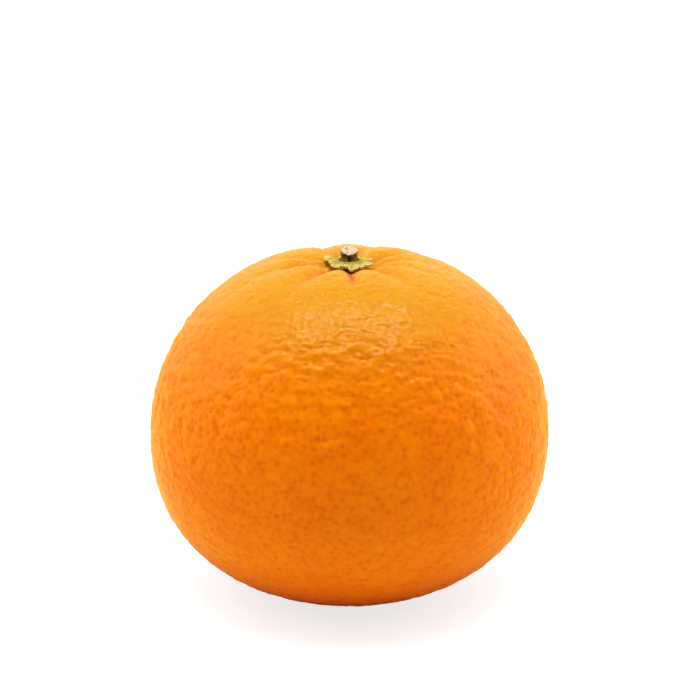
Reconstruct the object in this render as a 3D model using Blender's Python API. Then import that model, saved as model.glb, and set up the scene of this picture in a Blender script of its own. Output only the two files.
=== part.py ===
"""A murcott mandarin: the fruit, the green calyx on its stem end, and the clipped stem on the calyx.

Lengths are in metres and +Z is up. The origin is on the ground, under the middle of the fruit.
A bearing is an angle round an upright axis. It is 0 at the front (-Y) and grows towards +X.
"""

import math

import bmesh
import bpy

MM = 0.001
FIT_GAP = 0.3 * MM  # left between two pieces that touch

# The body of the fruit: a dome on a slightly squarer base
FRUIT_RADIUS = 36.1 * MM
DOME_HEIGHT = 35.2 * MM  # from the widest ring up to where the dome would close
BASE_DEPTH = 30.25 * MM  # from the widest ring down to where the base would close
DOME_FULLNESS = 1.97  # 2 is an ellipse, and more is squarer
BASE_FULLNESS = 2.28
OVALNESS = 0.2 * MM
OVAL_BEARING = math.radians(45)
LEAN = 0.38 * MM  # the top leans this far to the right, and the base to the left

# The stem end: the crown is flattened, and dips under the calyx
CROWN_DROP = 2.5 * MM
CROWN_SPREAD = 14.5 * MM
CROWN_TILT = 0.033  # the crown slopes down towards the back
DIP_DEPTH = 2.4 * MM
DIP_SPREAD = 6.3 * MM
STEM_SHIFT = 0.43 * MM  # the stem end is drawn this far back to the left
STEM_SHIFT_SPREAD = 12 * MM
STEM_X = LEAN - STEM_SHIFT

# Furrows that run out from the calyx between the shoulders: bearing in degrees, depth and reach
FURROWS = (
    (3, 1.05 * MM, 12 * MM),
    (41, 2.2 * MM, 12 * MM),
    (70, 1.2 * MM, 12 * MM),
    (92, 1.0 * MM, 12 * MM),
    (127, 2.3 * MM, 12 * MM),
    (164, 1.35 * MM, 15 * MM),
    (-160, 2.2 * MM, 15 * MM),
    (-104, 1.2 * MM, 12 * MM),
    (-76, 2.1 * MM, 13 * MM),
    (-37, 2.5 * MM, 12 * MM),
)
FURROW_START = 6 * MM  # full depth is reached this far out from the stem
FURROW_WIDTH = 0.2 * MM
FURROW_FLARE = 0.13  # extra width for each metre out
FURROW_ROUNDING = 1.4  # 1 is a sharp crease, and 2 a rounded valley
FURROW_BLEND = 3  # how sharply neighbouring furrows meet

# The blossom end: a flat ring that the fruit rests on, round a small dimple with a scar in it
FLAT_CUT = 0.35 * MM
DIMPLE_RADIUS = 4.4 * MM
DIMPLE_DEPTH = 0.7 * MM
SCAR_RADIUS = 1.3 * MM
SCAR_FLAT = 0.6  # the share of the scar's radius that is level
SCAR_RISE = 0.25 * MM

FRUIT_SEGMENTS = 84
FRUIT_RINGS = 50
POLE_CROWDING = 0.27  # draws the rings together at both ends, where the small forms are

# The calyx: bearing in degrees, reach, and half width in degrees of each lobe, round a plate
CALYX_LOBES = (
    (13, 4.3 * MM, 17),
    (40, 3.8 * MM, 13),
    (74, 4.05 * MM, 23),
    (120, 4.6 * MM, 20),
    (161, 4.1 * MM, 18),
    (-163, 4.2 * MM, 19),
    (-121, 5.0 * MM, 19),
    (-87, 3.6 * MM, 14),
    (-45, 4.0 * MM, 23),
)
CALYX_NOTCH = 2.8 * MM  # the plate's radius between two lobes
LOBE_SQUARENESS = 4  # 2 gives pointed lobes, and more gives blunt ones
CALYX_SAG = 0.1  # the share of a furrow's depth that the plate follows
CALYX_EDGE_THICKNESS = 0.64 * MM
CALYX_EDGE_ROUNDING = 0.35  # 1 rounds the edge like a ball's, and 0 squares it
CALYX_HUB_RISE = 1.4 * MM  # the plate thickens towards the stem
CALYX_HUB_SPREAD = 2.7 * MM
SOCKET_RADIUS = 1.95 * MM  # where the stem's foot stands in the calyx
SOCKET_FLOOR = 0.8  # the share of the socket's radius that is level
SOCKET_DEPTH = 0.9 * MM
SOCKET_SHARE = 0.5  # the share of the plate's rings that lies within the socket
CALYX_SEGMENTS = 80
CALYX_RINGS = 18

# The stem, clipped a little above the calyx
STEM_HEIGHT = 1.75 * MM
STEM_NECK_RADIUS = 1.4 * MM
STEM_FOOT_RADIUS = 1.5 * MM
STEM_CUT_RADIUS = 1.6 * MM
STEM_FOOT_SHARE = 0.35  # the foot's flare ends at this share of the height
STEM_CUT_SHARE = 0.45  # and the spread towards the cut starts at this one
STEM_RIBS = 7
STEM_RIB_HEIGHT = 0.06 * MM
STEM_CLEFT_DEPTH = 0.25 * MM
STEM_CLEFT_BEARING = math.radians(4)
STEM_CLEFT_WIDTH = math.radians(13)
STEM_CLEFT_TOP = 0.7  # the cleft fades out from this share of the height
CUT_TILT = math.radians(14)  # the cut slopes down towards the front
CUT_LEAN = math.radians(3)  # and a little to the right
STEM_SHARP_ANGLE = math.radians(40)
STEM_SEGMENTS = 40
STEM_LEVELS = 7

# Linear colours
PEEL_ORANGE = (0.871, 0.209, 0.005)
SEPAL_GREEN = (0.342, 0.356, 0.062)
TWIG_TAN = (0.445, 0.342, 0.235)


def bearing_of(x, y):
    return math.atan2(x, -y)


def at_bearing(radius, bearing):
    return radius * math.sin(bearing), -radius * math.cos(bearing)


def angle_between(a, b):
    return (a - b + math.pi) % (2 * math.pi) - math.pi


def smooth_step(low, high, value):
    share = min(max((value - low) / (high - low), 0), 1)
    return share * share * (3 - 2 * share)


def hill(distance, spread, power=2):
    """A smooth hill of height 1 that falls away with distance, flatter on top at a higher power."""
    return math.exp(-(abs(distance / spread) ** power))


def furrow_depth(radius, bearing):
    """How far the furrows take the skin down, this far out from the stem and on this bearing."""
    width = FURROW_WIDTH + FURROW_FLARE * radius
    total = 0
    for degrees, depth, reach in FURROWS:
        side = radius * angle_between(bearing, math.radians(degrees))
        valley = depth * hill(radius, reach) * hill(side, width, FURROW_ROUNDING)
        total += valley**FURROW_BLEND
    return smooth_step(0, FURROW_START, radius) * total ** (1 / FURROW_BLEND)


def blossom_rise(radius):
    """How far the skin stands off the ground inside the resting ring."""
    dimple = DIMPLE_DEPTH * (1 - smooth_step(0, DIMPLE_RADIUS, radius))
    scar = SCAR_RISE * (1 - smooth_step(SCAR_FLAT * SCAR_RADIUS, SCAR_RADIUS, radius))
    return dimple - scar


def side_shift(radius, up):
    """The fruit leans a little, and its stem end is drawn back to the left."""
    shift = LEAN * up
    if up > 0:
        shift -= STEM_SHIFT * hill(radius, STEM_SHIFT_SPREAD)
    return shift


def skin_point(polar, bearing, furrow_share=1):
    """The point of the skin in this direction from the middle of the widest ring."""
    out, up = math.sin(polar), math.cos(polar)
    half_height = DOME_HEIGHT if up > 0 else BASE_DEPTH
    fullness = DOME_FULLNESS if up > 0 else BASE_FULLNESS
    widest = FRUIT_RADIUS + OVALNESS * math.cos(2 * (bearing - OVAL_BEARING))
    reach = (abs(out / widest) ** fullness + abs(up / half_height) ** fullness) ** (-1 / fullness)
    radius, height = reach * out, reach * up
    if up > 0:
        height -= CROWN_DROP * hill(radius, CROWN_SPREAD)
        height -= DIP_DEPTH * hill(radius, DIP_SPREAD, 3)
        height -= furrow_share * furrow_depth(radius, bearing)
        height += CROWN_TILT * up * radius * math.cos(bearing)
    height += BASE_DEPTH - FLAT_CUT
    if height < 0:
        height = blossom_rise(radius)
    x, y = at_bearing(radius, bearing)
    return x + side_shift(radius, up), y, height


def bridging_height(radius, bearing):
    """The height over the skin, this far out from the stem, of a surface that sags into each furrow."""
    near, far = 0, math.pi / 3
    for _ in range(30):
        polar = (near + far) / 2
        x, y, height = skin_point(polar, bearing, CALYX_SAG)
        if math.hypot(x - STEM_X, y) < radius:
            near = polar
        else:
            far = polar
    return height


def finish(name, colour, roughness):
    """A plain material in a linear colour."""
    made = bpy.data.materials.new(name)
    made.use_nodes = True
    made.diffuse_color = (*colour, 1)
    surface = made.node_tree.nodes["Principled BSDF"]
    surface.inputs["Base Color"].default_value = (*colour, 1)
    surface.inputs["Roughness"].default_value = roughness
    surface.inputs["Metallic"].default_value = 0
    return made


def add_piece(collection, name, bm, material):
    """Makes an object of a mesh under construction, shaded smooth."""
    bmesh.ops.recalc_face_normals(bm, faces=bm.faces)
    mesh = bpy.data.meshes.new(name)
    bm.to_mesh(mesh)
    bm.free()
    mesh.materials.append(material)
    mesh.shade_smooth()
    piece = bpy.data.objects.new(name, mesh)
    collection.objects.link(piece)
    return piece


def ball(segments, rings):
    """A unit ball, whose points are then moved to where a formula says."""
    bm = bmesh.new()
    bmesh.ops.create_uvsphere(bm, u_segments=segments, v_segments=rings, radius=1)
    return bm


def make_fruit(collection):
    bm = ball(FRUIT_SEGMENTS, FRUIT_RINGS)
    for point in bm.verts:
        polar = math.acos(min(max(point.co.z, -1), 1))
        polar -= POLE_CROWDING * math.sin(2 * polar)
        point.co = skin_point(polar, bearing_of(point.co.x, point.co.y))
    return add_piece(collection, "fruit", bm, finish("peel", PEEL_ORANGE, 0.42))


def calyx_edge(bearing):
    """The calyx's radius on this bearing: the longest lobe there, or the notch between two."""
    radius = CALYX_NOTCH
    for degrees, reach, half_width in CALYX_LOBES:
        turn = angle_between(bearing, math.radians(degrees)) / math.radians(half_width)
        radius = max(radius, CALYX_NOTCH + (reach - CALYX_NOTCH) * (1 - turn**LOBE_SQUARENESS))
    return radius


def calyx_span(share, bearing):
    """How far out a ring of the plate lies: round in the socket, then spreading to the lobes' edge."""
    if share < SOCKET_SHARE:
        return SOCKET_RADIUS * share / SOCKET_SHARE
    outer = (share - SOCKET_SHARE) / (1 - SOCKET_SHARE)
    return SOCKET_RADIUS + (calyx_edge(bearing) - SOCKET_RADIUS) * outer


def calyx_sides(radius, bearing):
    """The heights of the plate's underside and top. The top rises to the stem and has a socket for it."""
    under = bridging_height(radius, bearing) + FIT_GAP
    hub = CALYX_HUB_RISE * hill(radius, CALYX_HUB_SPREAD)
    socket = SOCKET_DEPTH * (1 - smooth_step(SOCKET_FLOOR * SOCKET_RADIUS, SOCKET_RADIUS, radius))
    return under, under + CALYX_EDGE_THICKNESS + hub - socket


def make_calyx(collection):
    """A plate over the skin: the ball's upper half becomes its top, and the lower half its underside."""
    bm = ball(CALYX_SEGMENTS, CALYX_RINGS)
    for point in bm.verts:
        bearing = bearing_of(point.co.x, point.co.y)
        radius = calyx_span(math.hypot(point.co.x, point.co.y), bearing)
        under, over = calyx_sides(radius, bearing)
        side = math.copysign(abs(point.co.z) ** CALYX_EDGE_ROUNDING, point.co.z)
        x, y = at_bearing(radius, bearing)
        point.co = (x + STEM_X, y, (over + under) / 2 + side * (over - under) / 2)
    return add_piece(collection, "calyx", bm, finish("sepal", SEPAL_GREEN, 0.7))


def stem_radius(share, bearing):
    """The stem's radius at a share of its height: a flared foot, a neck, and a cut that spreads."""
    foot = (STEM_FOOT_RADIUS - STEM_NECK_RADIUS) * (1 - smooth_step(0, STEM_FOOT_SHARE, share))
    cut = (STEM_CUT_RADIUS - STEM_NECK_RADIUS) * smooth_step(STEM_CUT_SHARE, 1, share)
    ribs = STEM_RIB_HEIGHT * math.cos(STEM_RIBS * bearing)
    cleft = STEM_CLEFT_DEPTH * hill(angle_between(bearing, STEM_CLEFT_BEARING), STEM_CLEFT_WIDTH)
    return STEM_NECK_RADIUS + foot + cut + ribs - cleft * (1 - smooth_step(STEM_CLEFT_TOP, 1, share))


def make_stem(collection):
    """A cylinder in levels, drawn in or out by the stem's profile and cut off at a slant."""
    foot = calyx_sides(0, 0)[1] + FIT_GAP
    bm = bmesh.new()
    bmesh.ops.create_cone(
        bm, cap_ends=True, cap_tris=False, segments=STEM_SEGMENTS, radius1=1, radius2=1, depth=1
    )
    uprights = [edge for edge in bm.edges if abs(edge.verts[0].co.z - edge.verts[1].co.z) > 0.5]
    bmesh.ops.subdivide_edges(bm, edges=uprights, cuts=STEM_LEVELS)
    for point in bm.verts:
        share = point.co.z + 0.5
        bearing = bearing_of(point.co.x, point.co.y)
        x, y = at_bearing(stem_radius(share, bearing), bearing)
        slant = y * math.tan(CUT_TILT) - x * math.tan(CUT_LEAN)
        point.co = (x + STEM_X, y, foot + share * (STEM_HEIGHT + slant))
    stem = add_piece(collection, "stem", bm, finish("twig", TWIG_TAN, 0.85))
    stem.data.set_sharp_from_angle(angle=STEM_SHARP_ANGLE)
    return stem


def clear_scene():
    for thing in list(bpy.data.objects):
        bpy.data.objects.remove(thing, do_unlink=True)


def main():
    clear_scene()
    collection = bpy.data.collections.new("murcott_mandarin")
    bpy.context.scene.collection.children.link(collection)
    make_fruit(collection)
    make_calyx(collection)
    make_stem(collection)


main()
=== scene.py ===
# %% [markdown]
# # A murcott mandarin
# The solid model gives us three plain pieces: the fruit, the green calyx on its stem end, and the
# clipped stem that stands on the calyx. This lesson dresses them. We make a finer copy of each
# piece with the small forms that a solid leaves out, give it a finish made from nodes, and light
# it softly. The fine pieces follow the same formulas as the solids, so they fit without a nudge.

# %% Load the frame
import math

import bmesh
import bpy
import numpy as np
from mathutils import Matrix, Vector, noise
from mathutils.kdtree import KDTree


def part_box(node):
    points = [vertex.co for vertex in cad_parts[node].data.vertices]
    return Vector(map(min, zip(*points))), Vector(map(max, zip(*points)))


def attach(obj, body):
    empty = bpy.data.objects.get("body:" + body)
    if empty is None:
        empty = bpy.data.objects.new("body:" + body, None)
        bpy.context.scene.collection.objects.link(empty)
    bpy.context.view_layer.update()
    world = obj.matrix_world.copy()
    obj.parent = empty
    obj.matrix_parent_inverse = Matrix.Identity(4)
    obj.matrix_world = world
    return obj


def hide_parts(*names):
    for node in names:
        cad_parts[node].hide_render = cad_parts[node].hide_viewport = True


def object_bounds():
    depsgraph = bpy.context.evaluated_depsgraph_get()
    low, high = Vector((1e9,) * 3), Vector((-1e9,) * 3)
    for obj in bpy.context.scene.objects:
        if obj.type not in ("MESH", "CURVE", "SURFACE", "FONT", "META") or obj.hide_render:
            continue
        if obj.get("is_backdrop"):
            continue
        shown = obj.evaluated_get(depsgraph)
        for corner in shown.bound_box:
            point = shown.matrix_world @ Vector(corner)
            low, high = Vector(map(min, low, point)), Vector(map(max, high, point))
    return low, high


MM = 0.001

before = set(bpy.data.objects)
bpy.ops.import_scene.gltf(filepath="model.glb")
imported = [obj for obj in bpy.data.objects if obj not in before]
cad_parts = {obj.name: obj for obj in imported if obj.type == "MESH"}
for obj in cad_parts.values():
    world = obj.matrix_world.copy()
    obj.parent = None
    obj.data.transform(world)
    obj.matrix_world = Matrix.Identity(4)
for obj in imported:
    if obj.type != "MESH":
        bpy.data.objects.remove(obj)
cad_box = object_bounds()
for name in sorted(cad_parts):
    low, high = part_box(name)
    print(name, "measures", [round((b - a) / MM, 1) for a, b in zip(low, high)], "mm")

# %% [markdown]
# ## Two helpers
# Colours are easiest to judge as the hex values of a screen, but Blender mixes light in linear
# values, so one function converts them. The other adds a node to a material: it sets the node's
# own fields, fixes some of its sockets and links others.

# %% Helpers for colours and nodes
def linear(hex_colour):
    """A screen colour such as E87B10 as the linear colour that Blender works in, with alpha."""
    values = [int(hex_colour[k : k + 2], 16) / 255 for k in (0, 2, 4)]
    return (*(v / 12.92 if v <= 0.04045 else ((v + 0.055) / 1.055) ** 2.4 for v in values), 1)


def add_node(tree, kind, settings=None, links=None, **fields):
    """Adds a node: fields are its own options, settings fix its sockets, and links feed them."""
    node = tree.nodes.new(kind)
    for field, value in fields.items():
        setattr(node, field, value)
    for socket, value in (settings or {}).items():
        node.inputs[socket].default_value = value
    for socket, source in (links or {}).items():
        tree.links.new(source, node.inputs[socket])
    return node


print("a mid orange is", [round(v, 3) for v in linear("E87B10")])

# %% [markdown]
# ## The camera
# The photograph looks down on the fruit a little, from about 18 degrees above the table, through
# a long lens: the sides hardly converge. A camera 0.6 m away whose view is 126 mm wide at the
# fruit gives the same outline. It points a little above the middle of the fruit, because the
# fruit sits low in the frame.

# %% Camera
CAMERA_RISE = math.radians(18)
CAMERA_DISTANCE = 0.6
VIEW_WIDTH = 126 * MM
SENSOR_WIDTH = 36  # the sensor and the lens are in millimetres, as cameras have them
AIM = Vector((0.1, 0, 44.9)) * MM

camera_data = bpy.data.cameras.new("camera")
camera_data.sensor_width = SENSOR_WIDTH
camera_data.lens = SENSOR_WIDTH * CAMERA_DISTANCE / VIEW_WIDTH
camera = bpy.data.objects.new("camera", camera_data)
back_and_up = Vector((0, -math.cos(CAMERA_RISE), math.sin(CAMERA_RISE)))
camera.location = AIM + CAMERA_DISTANCE * back_and_up
camera.rotation_euler = (math.pi / 2 - CAMERA_RISE, 0, 0)
bpy.context.scene.collection.objects.link(camera)
bpy.context.scene.camera = camera
bpy.context.scene.view_settings.view_transform = "Standard"
print("lens", round(camera_data.lens), "mm, camera at", [round(v, 3) for v in camera.location])

# %% [markdown]
# ## The light
# The photograph is lit from straight above, and the reflection on the upper front of the fruit is
# squarish and broken. One large lamp would give one even patch there, so we hang a bank of small
# panes: two rows of three, with a fainter pane beyond each end of a row. A larger, weaker soft
# box on each side gives the paler patches at the left and right. Each light goes where its
# reflection asks for it, which is twice as far from the camera's direction as the skin that
# reflects it. We choose its radiance first, as a share of white, and turn that into watts.

# %% How a soft box is made
LAMP_CREAM = linear("FFF2CC")[:3]
MIDDLE = Vector((0, 0, 0.03))


def soft_box(name, place, width, depth, radiance):
    """A rectangular light that faces the fruit. Blender wants watts: radiance x pi x area."""
    data = bpy.data.lights.new(name, "AREA")
    data.shape = "RECTANGLE"
    data.size = width
    data.size_y = depth
    data.energy = radiance * math.pi * width * depth
    data.color = LAMP_CREAM
    lamp = bpy.data.objects.new(name, data)
    lamp.location = place
    lamp.rotation_euler = (MIDDLE - Vector(place)).to_track_quat("-Z", "Y").to_euler()
    bpy.context.scene.collection.objects.link(lamp)
    print(name, round(data.energy, 2), "W")


# %% The bank of panes and the side boxes
PANE_WIDTH, PANE_DEPTH = 0.113, 0.124
PANE_STEP = 0.19
BANK_MIDDLE = Vector((0, -0.03, 0.62))
PANE_COLUMNS = ((-2, 4), (-1, 17), (0, 17), (1, 17), (2, 4))  # steps to the right, and radiance
PANE_ROWS = (-0.5, 0.5)
SIDE_WIDTH, SIDE_DEPTH = 0.36, 0.5
LEFT_PLACE, LEFT_RADIANCE = (-0.6, 0.03, 0.42), 1.8
RIGHT_PLACE, RIGHT_RADIANCE = (0.66, 0.14, 0.3), 1.6

for column, radiance in PANE_COLUMNS:
    for row in PANE_ROWS:
        place = BANK_MIDDLE + Vector((column, row, 0)) * PANE_STEP
        soft_box("top_pane", place, PANE_WIDTH, PANE_DEPTH, radiance)
soft_box("left_box", LEFT_PLACE, SIDE_WIDTH, SIDE_DEPTH, LEFT_RADIANCE)
soft_box("right_box", RIGHT_PLACE, SIDE_WIDTH, SIDE_DEPTH, RIGHT_RADIANCE)

# %% [markdown]
# ## The room and the floor
# The room is a plain white tent that is dimmer on the camera's side, where the photographer's
# room is, so the front of the fruit keeps a deep colour and only its rims turn pale. A picture of
# a studio could light it as well, but a tent that brightens from front to back needs no file.
# What shows behind the fruit is plain white. The floor is matt white card. It is lifted by a
# light of its own, as a studio's floor is by many lamps, so only the shadow under the fruit shows.

# %% Room
TENT_CREAM = linear("FFF4D0")
PLAIN_WHITE = (1, 1, 1, 1)
ROOM_FRONT, ROOM_BACK = 0.3, 1.2
DIM_UP_TO, BRIGHT_FROM = -0.9, 0.7  # in a direction's front-to-back part, from -1 to 1

world = bpy.data.worlds.new("white_tent")
world.use_nodes = True
room = world.node_tree
room.nodes.clear()
towards = add_node(room, "ShaderNodeTexCoord")
parts = add_node(room, "ShaderNodeSeparateXYZ", links={0: towards.outputs["Generated"]})
brightness = add_node(
    room,
    "ShaderNodeMapRange",
    {"From Min": DIM_UP_TO, "From Max": BRIGHT_FROM, "To Min": ROOM_FRONT, "To Max": ROOM_BACK},
    {"Value": parts.outputs["Y"]},
    interpolation_type="SMOOTHSTEP",
)
lit = add_node(
    room, "ShaderNodeBackground", {"Color": TENT_CREAM}, {"Strength": brightness.outputs[0]}
)
seen = add_node(room, "ShaderNodeBackground", {"Color": PLAIN_WHITE})
ray = add_node(room, "ShaderNodeLightPath")
either = add_node(
    room,
    "ShaderNodeMixShader",
    links={0: ray.outputs["Is Camera Ray"], 1: lit.outputs[0], 2: seen.outputs[0]},
)
add_node(room, "ShaderNodeOutputWorld", links={"Surface": either.outputs[0]})
bpy.context.scene.world = world
print("the tent glows", ROOM_FRONT, "in front and", ROOM_BACK, "behind")

# %% Floor
FLOOR_SIZE = 8
FLOOR_DROP = 0.05 * MM  # keeps the floor from flickering through the fruit's flat foot
CARD_BOUNCE = linear("EEE49E")  # what the card throws back on the fruit
CARD_SHADE = linear("A4ACC8")  # cool, to set off the warm light that the fruit throws on it
CARD_LIFT = 0.76

bpy.ops.mesh.primitive_plane_add(size=FLOOR_SIZE, location=(0, 0, -FLOOR_DROP))
floor = bpy.context.object
floor.name = "floor"
card = bpy.data.materials.new("matt_white_card")
card.use_nodes = True
tree = card.node_tree
tree.nodes.clear()
bounce = add_node(tree, "ShaderNodeBsdfDiffuse", {"Color": CARD_BOUNCE})
shown = add_node(tree, "ShaderNodeBsdfDiffuse", {"Color": CARD_SHADE})
lift = add_node(tree, "ShaderNodeEmission", {"Strength": CARD_LIFT})
white = add_node(tree, "ShaderNodeAddShader", links={0: shown.outputs[0], 1: lift.outputs[0]})
ray = add_node(tree, "ShaderNodeLightPath")
card_face = add_node(
    tree,
    "ShaderNodeMixShader",
    links={0: ray.outputs["Is Camera Ray"], 1: bounce.outputs[0], 2: white.outputs[0]},
)
add_node(tree, "ShaderNodeOutputMaterial", links={"Surface": card_face.outputs[0]})
floor.data.materials.append(card)
floor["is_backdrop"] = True
print("floor", FLOOR_SIZE, "m wide")

# %% [markdown]
# ## The fruit's skin
# The solid is a formula: a dome on a squarer base, a flattened crown with a dip in it, and
# furrows that run out from the calyx. We could refine the solid's own mesh, but its facets would
# stay. Instead we repeat the formula here with the same sizes, for many directions at once, and
# then add what is too fine for a solid.

# %% Sizes of the fruit's body, as in the solid
FRUIT_RADIUS = 36.1 * MM
DOME_HEIGHT = 35.2 * MM
BASE_DEPTH = 30.25 * MM
DOME_FULLNESS = 1.97
BASE_FULLNESS = 2.28
OVALNESS = 0.2 * MM
OVAL_BEARING = math.radians(45)
LEAN = 0.38 * MM
FLAT_CUT = 0.35 * MM
DIMPLE_RADIUS = 4.4 * MM
DIMPLE_DEPTH = 0.7 * MM
SCAR_RADIUS = 1.3 * MM
SCAR_FLAT = 0.6
SCAR_RISE = 0.25 * MM
print("body", round(2 * FRUIT_RADIUS / MM, 1), "mm across")

# %% Sizes of its crown, as in the solid
CROWN_DROP = 2.5 * MM
CROWN_SPREAD = 14.5 * MM
CROWN_TILT = 0.033
DIP_DEPTH = 2.4 * MM
DIP_SPREAD = 6.3 * MM
STEM_SHIFT = 0.43 * MM
STEM_SHIFT_SPREAD = 12 * MM
STEM_X = LEAN - STEM_SHIFT
FURROWS = (  # bearing in degrees, depth and reach
    (3, 1.05 * MM, 12 * MM),
    (41, 2.2 * MM, 12 * MM),
    (70, 1.2 * MM, 12 * MM),
    (92, 1.0 * MM, 12 * MM),
    (127, 2.3 * MM, 12 * MM),
    (164, 1.35 * MM, 15 * MM),
    (-160, 2.2 * MM, 15 * MM),
    (-104, 1.2 * MM, 12 * MM),
    (-76, 2.1 * MM, 13 * MM),
    (-37, 2.5 * MM, 12 * MM),
)
FURROW_START = 6 * MM
FURROW_WIDTH = 0.2 * MM
FURROW_FLARE = 0.13
FURROW_ROUNDING = 1.4
FURROW_BLEND = 3
print(len(FURROWS), "furrows")


# %% Curves that the formulas are made of
def smooth_step(low, high, value):
    """0 before low, 1 past high, and an S-shaped rise between. High may be the smaller one."""
    share = np.clip((value - low) / (high - low), 0, 1)
    return share * share * (3 - 2 * share)


def hill(distance, spread, power=2):
    """1 at no distance, falling away smoothly on both sides."""
    return np.exp(-(np.abs(distance / spread) ** power))


def angle_between(a, b):
    """The turn from b to a, the short way round."""
    return (a - b + math.pi) % (2 * math.pi) - math.pi


print("a hill is", round(float(hill(1, 1)), 2), "high at one spread from its middle")


# %% The formula of the skin
def furrow_depth(radius, bearing):
    """How deep the furrows are here. Where two meet, they run together smoothly."""
    width = FURROW_WIDTH + FURROW_FLARE * radius
    total = 0
    for degrees, depth, reach in FURROWS:
        side = radius * angle_between(bearing, math.radians(degrees))
        furrow = depth * hill(radius, reach) * hill(side, width, FURROW_ROUNDING)
        total = total + furrow**FURROW_BLEND
    return smooth_step(0, FURROW_START, radius) * total ** (1 / FURROW_BLEND)


def skin_points(polar, bearing, furrow_share=1):
    """The places of the skin in these directions from the middle of the widest ring."""
    out, up = np.sin(polar), np.cos(polar)
    upper = up > 0
    half_height = np.where(upper, DOME_HEIGHT, BASE_DEPTH)
    fullness = np.where(upper, DOME_FULLNESS, BASE_FULLNESS)
    widest = FRUIT_RADIUS + OVALNESS * np.cos(2 * (bearing - OVAL_BEARING))
    sum_of_shares = np.abs(out / widest) ** fullness + np.abs(up / half_height) ** fullness
    reach = sum_of_shares ** (-1 / fullness)
    radius, height = reach * out, reach * up
    crown = CROWN_DROP * hill(radius, CROWN_SPREAD) + DIP_DEPTH * hill(radius, DIP_SPREAD, 3)
    crown += furrow_share * furrow_depth(radius, bearing)
    crown -= CROWN_TILT * up * radius * np.cos(bearing)
    height = height - np.where(upper, crown, 0) + BASE_DEPTH - FLAT_CUT
    dimple = DIMPLE_DEPTH * (1 - smooth_step(0, DIMPLE_RADIUS, radius))
    dimple -= SCAR_RISE * (1 - smooth_step(SCAR_FLAT * SCAR_RADIUS, SCAR_RADIUS, radius))
    height = np.where(height < 0, dimple, height)
    shift = LEAN * up - np.where(upper, STEM_SHIFT * hill(radius, STEM_SHIFT_SPREAD), 0)
    return np.stack([radius * np.sin(bearing) + shift, -radius * np.cos(bearing), height], axis=-1)


crown_height = float(skin_points(np.array(0.0), np.array(0.0))[2])
print("the crown dips to", round(crown_height / MM, 2), "mm")

# %% [markdown]
# ## Oil glands
# A mandarin's peel is full of oil glands, about 1.3 mm apart, and over each one the skin sinks
# into a small pit. A texture could fake them, but then the outline and the shadows would stay
# smooth. Instead we let the glands make the mesh: we scatter one point for each gland evenly over
# a ball, wrap the points in a triangle mesh, and cut each triangle in nine. Every gland then has
# a point at its centre and a ring of points round it, ready to be pushed in.

# %% Find the nearest of many places
def tree_of(places):
    """A search tree that finds which of these places is nearest."""
    search = KDTree(len(places))
    for index, place in enumerate(places):
        search.insert(place, index)
    search.balance()
    return search


marks = tree_of([(0, 0, 0), (1, 0, 0), (2, 0, 0)])
print("of the places 0, 1 and 2, the nearest to 1.2 is", marks.find((1.2, 0, 0))[1])

# %% Scatter the glands
GLAND_COUNT = 9400
GLAND_SEED = 7
GLAND_SHAKE = 0.3  # as a share of the spacing
EASING_ROUNDS = 3
NEIGHBOURS = 7  # a gland itself and the six round it
EASING = 0.3
MEAN_RADIUS = 34 * MM


def scatter_glands():
    """Directions of the glands: an even spiral, shaken, then eased apart where two are close."""
    rng = np.random.default_rng(GLAND_SEED)
    turn = np.arange(GLAND_COUNT) * math.pi * (3 - math.sqrt(5))
    height = 1 - 2 * (np.arange(GLAND_COUNT) + 0.5) / GLAND_COUNT
    across = np.sqrt(1 - height**2)
    places = np.stack([across * np.sin(turn), across * np.cos(turn), height], axis=1)
    spacing = math.sqrt(4 * math.pi / GLAND_COUNT)
    places += rng.normal(0, GLAND_SHAKE * spacing, places.shape)
    for _ in range(EASING_ROUNDS):
        places /= np.linalg.norm(places, axis=1, keepdims=True)
        search = tree_of(places)
        push = np.zeros_like(places)
        for index, place in enumerate(places):
            for near, _, gap in search.find_n(place, NEIGHBOURS):
                if 0 < gap < spacing:
                    push[index] += (place - np.array(near)) * (spacing - gap) / gap * EASING
        places += push
    return places / np.linalg.norm(places, axis=1, keepdims=True)


glands = scatter_glands()
gland_spacing = math.sqrt(4 * math.pi / GLAND_COUNT) * MEAN_RADIUS
print(len(glands), "glands, about", round(gland_spacing / MM, 2), "mm apart")


# %% Wrap them in a mesh
EDGE_CUTS = 2  # two cuts across each edge make nine triangles of one


def wrapped_mesh(name, places):
    """A ball of triangles with a corner at each place, each triangle then cut in nine."""
    bm = bmesh.new()
    for place in places:
        bm.verts.new(place)
    bmesh.ops.convex_hull(bm, input=bm.verts)
    bmesh.ops.subdivide_edges(bm, edges=bm.edges, cuts=EDGE_CUTS, use_grid_fill=True)
    bmesh.ops.recalc_face_normals(bm, faces=bm.faces)
    mesh = bpy.data.meshes.new(name)
    bm.to_mesh(mesh)
    bm.free()
    return mesh


peel_mesh = wrapped_mesh("peel", glands)
print(len(peel_mesh.polygons), "triangles in the peel")


# %% Read and write a mesh's points
def read_points(mesh, field="co"):
    """The places of a mesh's points, or their normals, as rows of three numbers."""
    values = np.empty(len(mesh.vertices) * 3)
    mesh.vertices.foreach_get(field, values)
    return values.reshape(-1, 3)


def write_points(mesh, points):
    """Moves the mesh's points to these places."""
    mesh.vertices.foreach_set("co", np.asarray(points, dtype=np.float64).ravel())
    mesh.update()


def note(mesh, name, values):
    """Keeps a number or a place for each point, which the material can read by this name."""
    values = np.asarray(values, dtype=np.float32)
    kind, field = ("FLOAT", "value") if values.ndim == 1 else ("FLOAT_VECTOR", "vector")
    mesh.attributes.new(name, kind, "POINT").data.foreach_set(field, values.ravel())


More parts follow.
